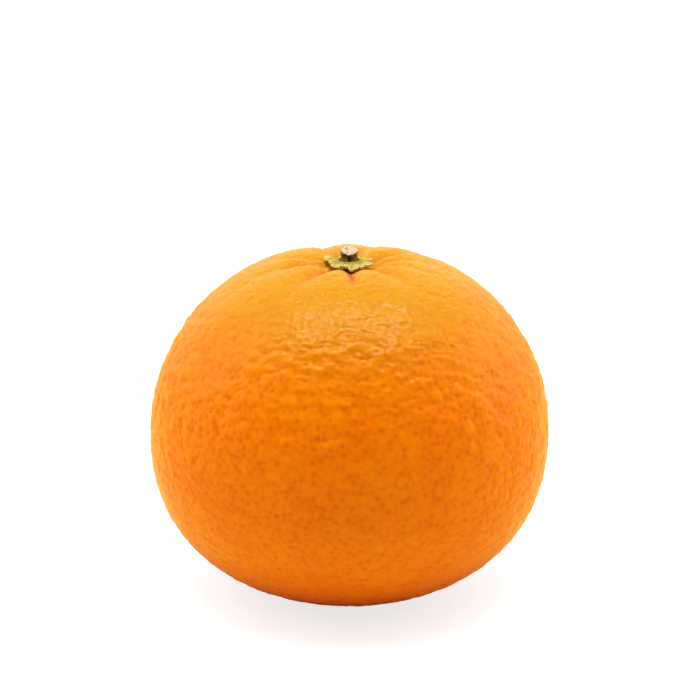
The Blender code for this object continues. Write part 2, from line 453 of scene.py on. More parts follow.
ways = read_points(peel_mesh)
ways /= np.linalg.norm(ways, axis=1, keepdims=True)
level = ways[:, 2]  # 1 at the crown, 0 at the widest ring and -1 under the base
print(len(ways), "directions, from level", round(level.min(), 2), "to", round(level.max(), 2))

# %% [markdown]
# ## From ball to peel
# Each point of the ball goes to the skin in its direction. Then the relief is added along the
# skin's own normal: a pit over each gland, slow swells that break up reflections, and one short
# crease in front of the calyx. A displacement texture would be quicker to set up, but it doesn't
# know where the glands are. No two glands are alike, so each pit has a depth of its own.

# %% Lay the skin
SWELL_STRETCH = 1.6  # swells are this much longer round the fruit than up it

polar = np.arccos(np.clip(level, -1, 1))
bearing = np.arctan2(ways[:, 0], -ways[:, 1])
skin = skin_points(polar, bearing)
write_points(peel_mesh, skin)
outward = read_points(peel_mesh, "normal")
reach_out = np.hypot(skin[:, 0] - STEM_X, skin[:, 1])  # how far out from the stem
sideways = skin[:, :2] / SWELL_STRETCH
lie = np.stack([sideways[:, 0], sideways[:, 1], polar * MEAN_RADIUS], axis=1)  # for the noises
print("skin", round(skin[:, 2].max() / MM, 1), "mm high at the shoulders")

# %% Pits over the glands
PIT_RADIUS = 0.5 * MM
PIT_DEPTH = 0.18 * MM
DOT_RADIUS = 0.6 * MM  # the dark oil shows a little wider than the pit
PIT_SPREAD = 0.45  # how unlike each other the pits are

gland_tree = tree_of(glands)
nearest = [gland_tree.find(way) for way in ways]
gland_gap = np.array([found[2] for found in nearest]) * MEAN_RADIUS
strengths = 1 + PIT_SPREAD * np.random.default_rng(GLAND_SEED).uniform(-1, 1, GLAND_COUNT)
strength = strengths[[found[1] for found in nearest]]
pit = strength * hill(gland_gap, PIT_RADIUS)
dot = strength * hill(gland_gap, DOT_RADIUS)
print("pits up to", round(PIT_DEPTH * pit.max() / MM, 2), "mm deep")

# %% A crease before the calyx
CREASE_DEPTH = 0.4 * MM
CREASE_WIDTH = 0.4 * MM
CREASE_START = -0.55 * MM  # how far beside the stem's middle its line passes
CREASE_SLANT = 0.09
CREASE_BEGINS = (5 * MM, 6.5 * MM)
CREASE_ENDS = (8 * MM, 16.5 * MM)

crease_side = skin[:, 0] - STEM_X - CREASE_START - CREASE_SLANT * -skin[:, 1]
crease_run = smooth_step(*CREASE_BEGINS, reach_out) * (1 - smooth_step(*CREASE_ENDS, reach_out))
crease_run *= (skin[:, 1] < 0) * (level > 0)
crease = crease_run * hill(crease_side, CREASE_WIDTH)
print("crease up to", round(CREASE_DEPTH * crease.max() / MM, 2), "mm deep")

# %% Swells of the rind
SWELLS = ((4 * MM, 0.07 * MM), (1.4 * MM, 0.26 * MM), (0.8 * MM, 0.06 * MM))  # width and height
CROWN_CALM = 0.6  # the swells are this much lower on the crown
CROWN_LEVELS = (0.62, 0.74)
BASE_CALM = 0.5  # and this much lower on the lower half
BASE_LEVELS = (0.2, -0.2)
FOOT_EDGE = 1.5 * MM  # the flat foot stays flat, and the relief is whole from this height up


def ground_noise(points, width):
    """Smooth noise from about -1 to 1 whose swells are this wide."""
    return np.array([noise.noise(Vector(point) / width) for point in points])


relief = -PIT_DEPTH * pit - CREASE_DEPTH * crease
calm = 1 - CROWN_CALM * smooth_step(*CROWN_LEVELS, level)
calm -= BASE_CALM * smooth_step(*BASE_LEVELS, level)
for width, rise in SWELLS:
    relief = relief + calm * rise * ground_noise(lie, width)
standing = smooth_step(0, FOOT_EDGE, skin[:, 2])
write_points(peel_mesh, skin + outward * (relief * standing)[:, None])
peel_mesh.shade_smooth()
print("relief from", round(relief.min() / MM, 3), "to", round(relief.max() / MM, 3), "mm")

# %% [markdown]
# ## Notes for the peel's finish
# Some colours of the peel follow its forms, and they are painted light and shade: the gold on the
# shoulders is painted light from the strong top light, and the red in the furrows, the crease and
# round the base is painted shade. We could paint them on an unwrapped picture. But we know where
# each form is, so every point keeps a few numbers that say how much of each colour it has, and the
# material reads them.

# %% Painted top light on the shoulders, and the scar
# The gold of the shoulders is painted light: it stands for the strong light from the bank
# overhead.
TOP_LIGHT_LEVELS = (0.28, 0.95)
BELLY_LIGHT_GOLD = 0.1  # the lower half has a little of the painted gold too
BELLY_LIGHT_LEVELS = (0.05, -0.3)
DOT_LIGHT_FADE = 0.6  # the dots are painted paler on the shoulders, washed out by the strong top light
SCAR_EDGE = (0.6 * SCAR_RADIUS, 1.3 * SCAR_RADIUS)

top_light_gold = smooth_step(*TOP_LIGHT_LEVELS, level) + BELLY_LIGHT_GOLD * smooth_step(*BELLY_LIGHT_LEVELS, level)
scar = np.where(level < 0, 1 - smooth_step(*SCAR_EDGE, reach_out), 0)
# the dots are painted paler where the top light is strongest
note(peel_mesh, "gland", dot * (1 - DOT_LIGHT_FADE * top_light_gold))
# the crease's note also places painted shade in it
note(peel_mesh, "crease", crease)
note(peel_mesh, "top_light_gold", top_light_gold)
note(peel_mesh, "scar", scar)
note(peel_mesh, "lie", lie)
print(int((top_light_gold > 0.5).sum()), "points are more than half gold")

# %% Where red shade is painted on the peel
SHADED_FURROW_DEPTH = 2 * MM  # a furrow this deep gets all of the painted red shade
REAR_SHADE_FADE = 0.6  # the painted shade in the furrows behind is weaker
REAR_RANGE = (-0.2, 0.6)  # from a little before the sides to well behind them
FRONT_BLUSH = 0.25  # the middle of the front is a little deeper in colour
BLUSH_HEIGHT = 26 * MM
BLUSH_RADIUS = 14 * MM
CREASE_SHADE = 0.5  # painted red shade beside the crease
CREASE_SHADE_WIDTH = 1.1 * MM
BASE_SHADE = 1.5  # painted red shade round the base
BASE_SHADE_LEVELS = (-0.3, -0.95)

# painted red shade in the furrows, the crease and round the base, and a deeper front
shade_and_blush = np.where(level > 0, furrow_depth(reach_out, bearing), 0) / SHADED_FURROW_DEPTH
shade_and_blush *= 1 - REAR_SHADE_FADE * smooth_step(*REAR_RANGE, -np.cos(bearing))
blush_gap = np.hypot(skin[:, 0], skin[:, 2] - BLUSH_HEIGHT)
shade_and_blush += FRONT_BLUSH * hill(blush_gap, BLUSH_RADIUS) * (skin[:, 1] < 0)
shade_and_blush += CREASE_SHADE * crease_run * hill(crease_side, CREASE_SHADE_WIDTH)
shade_and_blush += BASE_SHADE * smooth_step(*BASE_SHADE_LEVELS, level)
note(peel_mesh, "shade_and_blush", shade_and_blush)
print("the most red noted is", round(float(shade_and_blush.max()), 2))

# %% [markdown]
# ## Waxed peel
# The coloured outer layer of the peel is orange all through, with a thin natural wax on it. To
# the eye that gives a deep, slightly translucent orange with a soft satin gloss. The glands show
# as small darker dots in a paler net. The furrows by the calyx and the base are painted redder, as
# shade, and the shoulders are painted gold, as the strong top light. We lay the colours over one
# another in coats, as a painter would, so each can be changed by itself.

# %% Helpers for a finish
def new_finish(name):
    """A new material, the tree that holds its nodes, and its shader."""
    material = bpy.data.materials.new(name)
    material.use_nodes = True
    return material, material.node_tree, material.node_tree.nodes["Principled BSDF"]


def lay_coats(tree, ground, coats):
    """Lays colours over the ground colour, each as far as its share says, and gives the result."""
    fixed, linked = {6: ground}, {}  # sockets 6 and 7 are the colour below and the colour above
    for share, colour in coats:
        mix = add_node(
            tree, "ShaderNodeMix", {**fixed, 7: colour}, {0: share, **linked}, data_type="RGBA"
        )
        fixed, linked = {}, {6: mix.outputs[2]}
    return mix.outputs[2]


waxed_peel, tree, surface = new_finish("waxed_peel")
print("a finish starts with", len(tree.nodes), "nodes")

# %% Where the peel's patches, painted top light and freckles go
PATCH_WIDTH = 11 * MM
FRECKLE_WIDTH = 1.1 * MM
# how much of the painted top light's gold the shoulders take
TOP_LIGHT_SHARE = 0.85

where = add_node(tree, "ShaderNodeTexCoord").outputs["Object"]
patches = add_node(tree, "ShaderNodeTexNoise", {"Scale": 1 / PATCH_WIDTH, "Detail": 3}, {0: where})
patch_share = add_node(
    tree, "ShaderNodeMapRange", {"From Min": 0.35, "From Max": 0.65}, {0: patches.outputs[0]}
)
top_light_note = add_node(tree, "ShaderNodeAttribute", attribute_name="top_light_gold")
top_light_share = add_node(
    tree,
    "ShaderNodeMath",
    {1: TOP_LIGHT_SHARE},
    {0: top_light_note.outputs["Fac"]},
    operation="MULTIPLY",
)
freckles = add_node(
    tree, "ShaderNodeTexNoise", {"Scale": 1 / FRECKLE_WIDTH, "Detail": 2}, {0: where}
)
freckle_share = add_node(
    tree,
    "ShaderNodeMapRange",
    {"From Min": 0.45, "From Max": 0.75, "To Max": 0.3},
    {0: freckles.outputs[0]},
)
print("patches", round(PATCH_WIDTH / MM), "mm wide, freckles", round(FRECKLE_WIDTH / MM, 1), "mm")

# %% Where its dots, painted shade and scar go
gland_note = add_node(tree, "ShaderNodeAttribute", attribute_name="gland")
gland_share = add_node(
    tree,
    "ShaderNodeMapRange",
    {"From Min": 0.2, "From Max": 1.4, "To Max": 0.66},
    {0: gland_note.outputs["Fac"]},
)
shade_and_blush_note = add_node(tree, "ShaderNodeAttribute", attribute_name="shade_and_blush")
shade_and_blush_share = add_node(
    tree,
    "ShaderNodeMapRange",
    {"From Min": 0.1, "From Max": 1.17},
    {0: shade_and_blush_note.outputs["Fac"]},
)
crease_shade_note = add_node(tree, "ShaderNodeAttribute", attribute_name="crease")
scar_note = add_node(tree, "ShaderNodeAttribute", attribute_name="scar")
print(len(tree.nodes), "nodes in the waxed peel so far")

# %% Colours of the waxed peel
PEEL_DEEP = linear("DC7500")
PEEL_GOLD = linear("DE8000")
# painted light: the gold that the strong top light gives the shoulders
PEEL_TOP_LIGHT_GOLD = linear("A48013")
PEEL_NET = linear("E48C00")
PEEL_GLAND = linear("C45500")
# painted shade: the red of the furrows, the crease and the base, and the deeper front
PEEL_SHADE_AND_BLUSH = linear("CC5600")
# painted shade deep in the crease
PEEL_CREASE_SHADE = linear("8E2400")
SCAR_BROWN = linear("7A5A30")

peel_coats = (
    (patch_share.outputs[0], PEEL_GOLD),
    (top_light_share.outputs[0], PEEL_TOP_LIGHT_GOLD),
    (freckle_share.outputs[0], PEEL_NET),
    (gland_share.outputs[0], PEEL_GLAND),
    (shade_and_blush_share.outputs[0], PEEL_SHADE_AND_BLUSH),
    (crease_shade_note.outputs["Fac"], PEEL_CREASE_SHADE),
    (scar_note.outputs["Fac"], SCAR_BROWN),
)
tree.links.new(lay_coats(tree, PEEL_DEEP, peel_coats), surface.inputs["Base Color"])
print(len(peel_coats), "coats on the peel")

# %% [markdown]
# ## Gloss and grain of the peel
# A thin wax gives two kinds of shine: a broad satin glow, and small hard glints where it lies
# smooth. A rough surface with a sharp, weak coat over it does both, and light that wanders under
# the skin keeps the shadows warm. The glints break up on worm-like ridges and ripples. They are
# so low that points of their own would be wasted on them, so they are bumps in the shading: the
# sine of a slow noise makes ridges that wander like the contour lines on a map.

# %% Gloss of the waxed peel
WAX_IOR = 1.4  # wax has about 1.43, and the wet peel under it less
WANDERING = 1.4 * MM  # how far light gets under the skin

surface.inputs["Roughness"].default_value = 0.36
surface.inputs["IOR"].default_value = WAX_IOR
surface.inputs["Specular IOR Level"].default_value = 0.1  # the wax keeps most of the shine
surface.inputs["Specular Tint"].default_value = linear("FFB848")
surface.inputs["Coat Weight"].default_value = 0.3
surface.inputs["Coat Roughness"].default_value = 0.05
surface.inputs["Coat IOR"].default_value = WAX_IOR
surface.inputs["Subsurface Weight"].default_value = 0.7
surface.inputs["Subsurface Radius"].default_value = (1.0, 0.45, 0.15)  # red light gets farthest
surface.inputs["Subsurface Scale"].default_value = WANDERING
print("light wanders", round(WANDERING / MM, 1), "mm under the peel")

# %% Maps of the ridges, ripples and grain
RIDGE_FIELD = 3.6 * MM
RIDGE_TURNS = 34  # the ridges come out about 1.3 mm apart
RIPPLE_WIDTH = 0.9 * MM
GRAIN_WIDTH = 0.3 * MM

lie_note = add_node(tree, "ShaderNodeAttribute", attribute_name="lie")
hills = add_node(
    tree,
    "ShaderNodeTexNoise",
    {"Scale": 1 / RIDGE_FIELD, "Detail": 1, "Roughness": 0.4},
    {0: lie_note.outputs["Vector"]},
)
hill_turns = add_node(
    tree, "ShaderNodeMath", {1: RIDGE_TURNS}, {0: hills.outputs[0]}, operation="MULTIPLY"
)
ridges = add_node(tree, "ShaderNodeMath", links={0: hill_turns.outputs[0]}, operation="SINE")
ripples = add_node(
    tree,
    "ShaderNodeTexNoise",
    {"Scale": 1 / RIPPLE_WIDTH, "Detail": 1},
    {0: lie_note.outputs["Vector"]},
)
grain = add_node(tree, "ShaderNodeTexNoise", {"Scale": 1 / GRAIN_WIDTH, "Detail": 2}, {0: where})
print("ripples", round(RIPPLE_WIDTH / MM, 1), "mm wide, grain", round(GRAIN_WIDTH / MM, 1), "mm")

# %% Bumps from the three maps
RIDGE_HEIGHT = 0.02 * MM
RIPPLE_HEIGHT = 0.09 * MM
GRAIN_HEIGHT = 0.01 * MM

relief_maps = ((ridges, RIDGE_HEIGHT), (ripples, RIPPLE_HEIGHT), (grain, GRAIN_HEIGHT))
below = {}
for relief_map, bump_height in relief_maps:
    bump = add_node(
        tree,
        "ShaderNodeBump",
        {"Strength": 1, "Distance": bump_height},
        {"Height": relief_map.outputs[0], **below},
    )
    below = {"Normal": bump.outputs[0]}
tree.links.new(bump.outputs[0], surface.inputs["Normal"])
tree.links.new(bump.outputs[0], surface.inputs["Coat Normal"])
print(len(tree.nodes), "nodes in the waxed peel")


# %% Put the peel in place
def put_in_place(name, mesh, material, node):
    """Links a fine piece that stands for a solid, gives it this material, sets it under the root
    body and hides the solid.
    """
    piece = bpy.data.objects.new(name, mesh)
    bpy.context.scene.collection.objects.link(piece)
    mesh.materials.append(material)
    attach(piece, "root")
    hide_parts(node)
    print(name, "in place, with", len(mesh.polygons), "faces")


put_in_place("peel", peel_mesh, waxed_peel, "fruit")

# %% [markdown]
# ## The calyx
# The calyx is what is left of the flower's green cup: a little plate with uneven lobes that grips
# the crown. The solid gives it its outline and its thickness. It could be sculpted by hand, but a
# ball of many points that follows the solid's formula stays in step with it. On those points go
# the forms of a real one: grooves between the lobes, a thick crusty rim that curls down on to the
# peel, and a nibbled edge.

# %% Sizes of the calyx, as in the solid
CALYX_LOBES = (  # bearing in degrees, reach, and half width in degrees
    (13, 4.3 * MM, 17),
    (40, 3.8 * MM, 13),
    (74, 4.05 * MM, 23),
    (120, 4.6 * MM, 20),
    (161, 4.1 * MM, 18),
    (-163, 4.2 * MM, 19),
    (-121, 5.0 * MM, 19),
    (-87, 3.6 * MM, 14),
    (-45, 4.0 * MM, 23),
)
FIT_GAP = 0.3 * MM
CALYX_NOTCH = 2.8 * MM
LOBE_SQUARENESS = 4
CALYX_SAG = 0.1
CALYX_EDGE_THICKNESS = 0.64 * MM
CALYX_EDGE_ROUNDING = 0.35
CALYX_HUB_RISE = 1.4 * MM
CALYX_HUB_SPREAD = 2.7 * MM
SOCKET_RADIUS = 1.95 * MM
SOCKET_FLOOR = 0.8
SOCKET_DEPTH = 0.9 * MM
SOCKET_SHARE = 0.5
longest = max(reach for _, reach, _ in CALYX_LOBES)
print(len(CALYX_LOBES), "lobes, the longest", round(longest / MM, 1), "mm out")


# %% The formula of the calyx
HALVINGS = 30


def bridging_height(radius, bearing):
    """The height, this far out from the stem, of a plate on the skin that sags into furrows."""
    near, far = np.zeros_like(radius), np.full_like(radius, math.pi / 3)
    for _ in range(HALVINGS):
        middle = (near + far) / 2
        places = skin_points(middle, bearing, CALYX_SAG)
        short = np.hypot(places[:, 0] - STEM_X, places[:, 1]) < radius
        near, far = np.where(short, middle, near), np.where(short, far, middle)
    return places[:, 2]


def calyx_edge(bearing):
    """The calyx's radius on this bearing: the longest lobe there, or the notch between two."""
    radius = np.full_like(bearing, CALYX_NOTCH)
    for degrees, reach, half_width in CALYX_LOBES:
        turn = angle_between(bearing, math.radians(degrees)) / math.radians(half_width)
        lobe = CALYX_NOTCH + (reach - CALYX_NOTCH) * (1 - turn**LOBE_SQUARENESS)
        radius = np.maximum(radius, lobe)
    return radius


def calyx_sides(radius, bearing):
    """The heights of the plate's underside and top."""
    under = bridging_height(radius, bearing) + FIT_GAP
    hub = CALYX_HUB_RISE * hill(radius, CALYX_HUB_SPREAD)
    socket = SOCKET_DEPTH * (1 - smooth_step(SOCKET_FLOOR * SOCKET_RADIUS, SOCKET_RADIUS, radius))
    return under, under + CALYX_EDGE_THICKNESS + hub - socket


socket_floor = calyx_sides(np.zeros(1), np.zeros(1))[1][0]
print("the socket for the stem is", round(float(socket_floor) / MM, 2), "mm up")


# %% Lay out the calyx
CALYX_SEGMENTS = 360
CALYX_RINGS = 96
NIBBLE = 0.05 * MM  # the edge's own small bites
NIBBLE_RING = 4 * MM
NIBBLE_WIDTH = 0.9 * MM


def fine_ball(name, segments, rings):
    """A ball of many faces, whose points are then moved to where a formula says."""
    bm = bmesh.new()
    bmesh.ops.create_uvsphere(bm, u_segments=segments, v_segments=rings, radius=1)
    bmesh.ops.recalc_face_normals(bm, faces=bm.faces)
    mesh = bpy.data.meshes.new(name)
    bm.to_mesh(mesh)
    bm.free()
    mesh.shade_smooth()
    return mesh


def ring_noise(bearing, radius, width, seed):
    """Noise along a ring of this radius, with swells this wide."""
    across, along = np.sin(bearing) * radius, np.cos(bearing) * radius
    return ground_noise(np.stack([across, along, seed + 0 * bearing], axis=1), width)


calyx_mesh = fine_ball("calyx", CALYX_SEGMENTS, CALYX_RINGS)
ball = read_points(calyx_mesh)
bearing = np.arctan2(ball[:, 0], -ball[:, 1])
share = np.clip(np.hypot(ball[:, 0], ball[:, 1]), 0, 1)
edge = calyx_edge(bearing) + NIBBLE * ring_noise(bearing, NIBBLE_RING, NIBBLE_WIDTH, 0.0)
outer = np.clip((share - SOCKET_SHARE) / (1 - SOCKET_SHARE), 0, 1)
inner_radius = SOCKET_RADIUS * share / SOCKET_SHARE
outer_radius = SOCKET_RADIUS + (edge - SOCKET_RADIUS) * outer
radius = np.where(share < SOCKET_SHARE, inner_radius, outer_radius)
under, over = calyx_sides(radius, bearing)
print("calyx rim up to", round(radius.max() / MM, 2), "mm out")

# %% Rim, grooves and droop of the calyx
RIM_WIDTH = 0.4 * MM
RIM_CURL = 0.14 * MM
RIM_ROUNDING = 0.9  # the upper side rolls over towards the edge
GROOVE_WIDTH = 0.35 * MM
DROOP = 0.3 * MM  # the front lobe hangs into the furrow before it
DROOP_BEARING = math.radians(6)
DROOP_WIDTH = math.radians(16)
CURL_WIDTH = 1.4 * MM

groove = hill(np.maximum(calyx_edge(bearing) - CALYX_NOTCH, 0), GROOVE_WIDTH)
groove *= smooth_step(SOCKET_RADIUS, CALYX_NOTCH, radius)
rim = hill(edge - radius, RIM_WIDTH)
curl = RIM_CURL + DROOP * hill(angle_between(bearing, DROOP_BEARING), DROOP_WIDTH)
curl = curl * smooth_step(CALYX_NOTCH, CALYX_NOTCH + CURL_WIDTH, radius)
rounding = np.where(ball[:, 2] > 0, RIM_ROUNDING, CALYX_EDGE_ROUNDING)
side = np.copysign(np.abs(ball[:, 2]) ** rounding, ball[:, 2])
height = (over + under) / 2 + side * (over - under) / 2
print("the rim curls down by up to", round(curl.max() / MM, 2), "mm")

# %% Puckers of the calyx, and notes for its finish
RIM_BEAD = 0.16 * MM
GROOVE_DEPTH = 0.16 * MM
PUCKER = 0.1 * MM
PUCKER_WIDTH, FINE_PUCKER_WIDTH = 0.5 * MM, 0.22 * MM
FINE_PUCKER_SHARE = 0.6
PUCKER_START = (0.9, 1.3)  # in radii of the stem's socket
TOP_RANGE = (-0.3, 0.3)  # in heights on the ball, as the next one
UNDERSIDE_SHADE_RANGE = (-0.35, -0.75)
HUB_WIDTH = 1.1 * MM

x, y = radius * np.sin(bearing) + STEM_X, -radius * np.cos(bearing)
plate = np.stack([x, y, height], axis=1)
pucker = ground_noise(plate, PUCKER_WIDTH)
pucker = pucker + FINE_PUCKER_SHARE * ground_noise(plate, FINE_PUCKER_WIDTH)
beyond_stem = smooth_step(*PUCKER_START, radius / SOCKET_RADIUS)
bumps = RIM_BEAD * rim - GROOVE_DEPTH * groove + PUCKER * pucker * beyond_stem
height += smooth_step(*TOP_RANGE, ball[:, 2]) * bumps
height -= curl
write_points(calyx_mesh, np.stack([x, y, height], axis=1))
note(calyx_mesh, "rim", rim)
note(calyx_mesh, "hub", 1 - smooth_step(SOCKET_RADIUS, SOCKET_RADIUS + HUB_WIDTH, radius))
# where the underside is painted brown as shade
note(calyx_mesh, "underside", smooth_step(*UNDERSIDE_SHADE_RANGE, ball[:, 2]))
print("puckers up to", round(PUCKER * pucker.max() / MM, 2), "mm high")

# %% [markdown]
# ## Drying sepal
# A calyx that has been picked for some days is still yellow-green in its middle, but its rim has
# dried to a pale, corky crust with brown specks; the crust is lightened further as a painted
# highlight on the rim's bead. Its underside is painted brown, as the shade under the plate. It is
# quite matt. A photograph of one could be laid on, but the crust has to sit on the rim's own bead,
# so the rim's note times a crumbly noise says where the crust is thick enough to show.

# %% Where each coat of the sepal goes
MOTTLE_WIDTH = 0.7 * MM
CRUMB_WIDTH = 0.35 * MM
HUB_OLIVE = 0.85

drying_sepal, tree, surface = new_finish("drying_sepal")
where = add_node(tree, "ShaderNodeTexCoord").outputs["Object"]
mottle = add_node(tree, "ShaderNodeTexNoise", {"Scale": 1 / MOTTLE_WIDTH, "Detail": 4}, {0: where})
mottle_share = add_node(
    tree, "ShaderNodeMapRange", {"From Min": 0.38, "From Max": 0.62}, {0: mottle.outputs[0]}
)
hub_note = add_node(tree, "ShaderNodeAttribute", attribute_name="hub")
hub_share = add_node(
    tree, "ShaderNodeMath", {1: HUB_OLIVE}, {0: hub_note.outputs["Fac"]}, operation="MULTIPLY"
)
rim_note = add_node(tree, "ShaderNodeAttribute", attribute_name="rim")
crumbs = add_node(tree, "ShaderNodeTexNoise", {"Scale": 1 / CRUMB_WIDTH, "Detail": 3}, {0: where})
crust = add_node(
    tree,
    "ShaderNodeMath",
    links={0: rim_note.outputs["Fac"], 1: crumbs.outputs[0]},
    operation="MULTIPLY",
)
# the crust is partly the rim's own dried colour and partly a painted highlight on its bead
crust_and_highlight_share = add_node(
    tree, "ShaderNodeMapRange", {"From Min": 0.2, "From Max": 0.5}, {0: crust.outputs[0]}
)
speck_share = add_node(
    tree, "ShaderNodeMapRange", {"From Min": 0.64, "From Max": 0.72}, {0: crumbs.outputs[0]}
)
scorch_share = add_node(
    tree, "ShaderNodeMapRange", {"From Min": 0.52, "From Max": 0.6}, {0: crust.outputs[0]}
)
# painted shade on the underside
underside_shade_note = add_node(tree, "ShaderNodeAttribute", attribute_name="underside")
print("mottles", round(MOTTLE_WIDTH / MM, 1), "mm wide, crumbs", round(CRUMB_WIDTH / MM, 2), "mm")

# %% Colours and roughness of the drying sepal
SEPAL_GREEN = linear("B2A356")
SEPAL_OLIVE = linear("84782F")
# the pale crust, lightened as a painted highlight on the rim
SEPAL_CRUST_AND_HIGHLIGHT = linear("D2C68C")
# brown of the specks and scorch, and painted shade on the underside
SEPAL_BROWN_AND_SHADE = linear("4A3818")
CRUST_HEIGHT = 0.06 * MM

sepal_coats = (
    (mottle_share.outputs[0], SEPAL_GREEN),
    (hub_share.outputs[0], SEPAL_OLIVE),
    (crust_and_highlight_share.outputs[0], SEPAL_CRUST_AND_HIGHLIGHT),
    (speck_share.outputs[0], SEPAL_BROWN_AND_SHADE),
    (scorch_share.outputs[0], SEPAL_BROWN_AND_SHADE),
    (underside_shade_note.outputs["Fac"], SEPAL_BROWN_AND_SHADE),
)
tree.links.new(lay_coats(tree, SEPAL_OLIVE, sepal_coats), surface.inputs["Base Color"])
surface.inputs["Roughness"].default_value = 0.75
surface.inputs["Specular IOR Level"].default_value = 0.3  # dry and matt
rough_crust = add_node(
    tree,
    "ShaderNodeBump",
    {"Strength": 1, "Distance": CRUST_HEIGHT},
    {"Height": crumbs.outputs[0]},
)
tree.links.new(rough_crust.outputs[0], surface.inputs["Normal"])
put_in_place("calyx_plate", calyx_mesh, drying_sepal, "calyx")

# %% [markdown]
# ## The clipped stem
# The picker's clippers leave a stub of the twig on the calyx. Its sides are ribbed bark with a
# deep cleft in front, and its slanting cut shows pale wood. A cylinder would do for the sides, but
# its sharp rim would look machined. We bend a ball instead: the cap of the ball becomes the cut,
# its belt the bark, and the edge between them stays a little round.

# %% Sizes of the stem, as in the solid
STEM_HEIGHT = 1.75 * MM
STEM_NECK_RADIUS = 1.4 * MM
STEM_FOOT_RADIUS = 1.5 * MM
STEM_CUT_RADIUS = 1.6 * MM
STEM_FOOT_SHARE = 0.35
STEM_CUT_SHARE = 0.45
STEM_RIBS = 7
STEM_RIB_HEIGHT = 0.06 * MM
STEM_CLEFT_DEPTH = 0.25 * MM
STEM_CLEFT_BEARING = math.radians(4)
STEM_CLEFT_WIDTH = math.radians(13)
STEM_CLEFT_TOP = 0.7
CUT_TILT = math.radians(14)
CUT_LEAN = math.radians(3)
print("stem", round(2 * STEM_CUT_RADIUS / MM, 1), "mm across at its cut")

# %% Lay out the stem
STEM_SEGMENTS = 288
STEM_RINGS = 128
CAP = math.radians(45)  # the share of the ball that becomes the cut
BARK_RING = 1.5 * MM
BARK_STREAK = 0.5 * MM  # less than the height, so that the bark's noise is drawn out up the stem
BARK_WIDTH = 0.35 * MM

stem_mesh = fine_ball("stem", STEM_SEGMENTS, STEM_RINGS)
middles = np.empty(len(stem_mesh.polygons) * 3)
stem_mesh.polygons.foreach_get("center", middles)
on_cap = middles[2::3] > math.cos(CAP)
ball = read_points(stem_mesh)
bearing = np.arctan2(ball[:, 0], -ball[:, 1])
polar = np.arccos(np.clip(ball[:, 2], -1, 1))
share = np.clip((math.pi - CAP - polar) / (math.pi - 2 * CAP), 0, 1)
inward = np.clip(np.minimum(polar, math.pi - polar) / CAP, 0, 1)
bark_places = np.stack(
    [np.sin(bearing) * BARK_RING, np.cos(bearing) * BARK_RING, share * BARK_STREAK], axis=1
)
bark = ground_noise(bark_places, BARK_WIDTH)
print(int(on_cap.sum()), "of", len(on_cap), "faces are the cut")

# %% Foot, neck, cleft and ragged cut
COLLAR_SPREAD = 0.05 * MM  # the foot swells where it has grown together with the calyx
COLLAR_SHARE = 0.3
BARK_FURROW = 0.09 * MM
RAGGEDNESS = 0.16 * MM  # the cut isn't quite round
RAGGED_WIDTH = 1.1 * MM
RAGGED_SEED = 5.0

foot = (STEM_FOOT_RADIUS - STEM_NECK_RADIUS) * (1 - smooth_step(0, STEM_FOOT_SHARE, share))
foot = foot + COLLAR_SPREAD * (1 - smooth_step(0, COLLAR_SHARE, share))
cut = (STEM_CUT_RADIUS - STEM_NECK_RADIUS) * smooth_step(STEM_CUT_SHARE, 1, share)
cleft = STEM_CLEFT_DEPTH * hill(angle_between(bearing, STEM_CLEFT_BEARING), STEM_CLEFT_WIDTH)
cleft = cleft * (1 - smooth_step(STEM_CLEFT_TOP, 1, share))
radius = STEM_NECK_RADIUS + foot + cut + STEM_RIB_HEIGHT * np.cos(STEM_RIBS * bearing) - cleft
radius = inward * (radius + BARK_FURROW * bark)
ragged = RAGGEDNESS * ring_noise(bearing, STEM_CUT_RADIUS, RAGGED_WIDTH, RAGGED_SEED)
radius += inward * ragged * smooth_step(STEM_CUT_SHARE, 1, share)
print("stem up to", round(2 * radius.max() / MM, 2), "mm across")

# %% The slanting cut
CUT_EDGE = 0.1 * MM  # how far the cut's edge is rounded over
CUT_EDGE_SHARE = 0.06
CUT_RELIEF = 0.05 * MM
CUT_WIDTH = 0.4 * MM
PITH_RADIUS = 0.3 * MM
PITH_DEPTH = 0.8  # as a share of the relief

x, y = radius * np.sin(bearing), -radius * np.cos(bearing)
slant = y * math.tan(CUT_TILT) - x * math.tan(CUT_LEAN)
foot_height = socket_floor + FIT_GAP
height = foot_height + share * (STEM_HEIGHT + slant)
cut_places = np.stack([x, y, 0 * x], axis=1)
cut_relief = ground_noise(cut_places, CUT_WIDTH) - PITH_DEPTH * hill(radius, PITH_RADIUS)
height += (polar < CAP) * CUT_RELIEF * cut_relief
height -= CUT_EDGE * hill(1 - inward, CUT_EDGE_SHARE) * (polar < math.pi / 2)
write_points(stem_mesh, np.stack([x + STEM_X, y, height], axis=1))
note(stem_mesh, "bark", bark)
note(stem_mesh, "up", share)
note(stem_mesh, "inward", inward)
note(stem_mesh, "cleft", cleft / STEM_CLEFT_DEPTH)
print("stem stands", round((height.max() - foot_height) / MM, 2), "mm high")

# %% [markdown]
# ## Bark and clipped wood
# The bark has gone brown, with paler ribs and a tinge of green left at its foot. The cut is pale,
# a little pink, and has dried with dark specks and a darker rim. One material could switch
# between them, but bark and wood are two things, so each gets its own, and the faces of the cut
# are told to use the second. Both are quite matt.

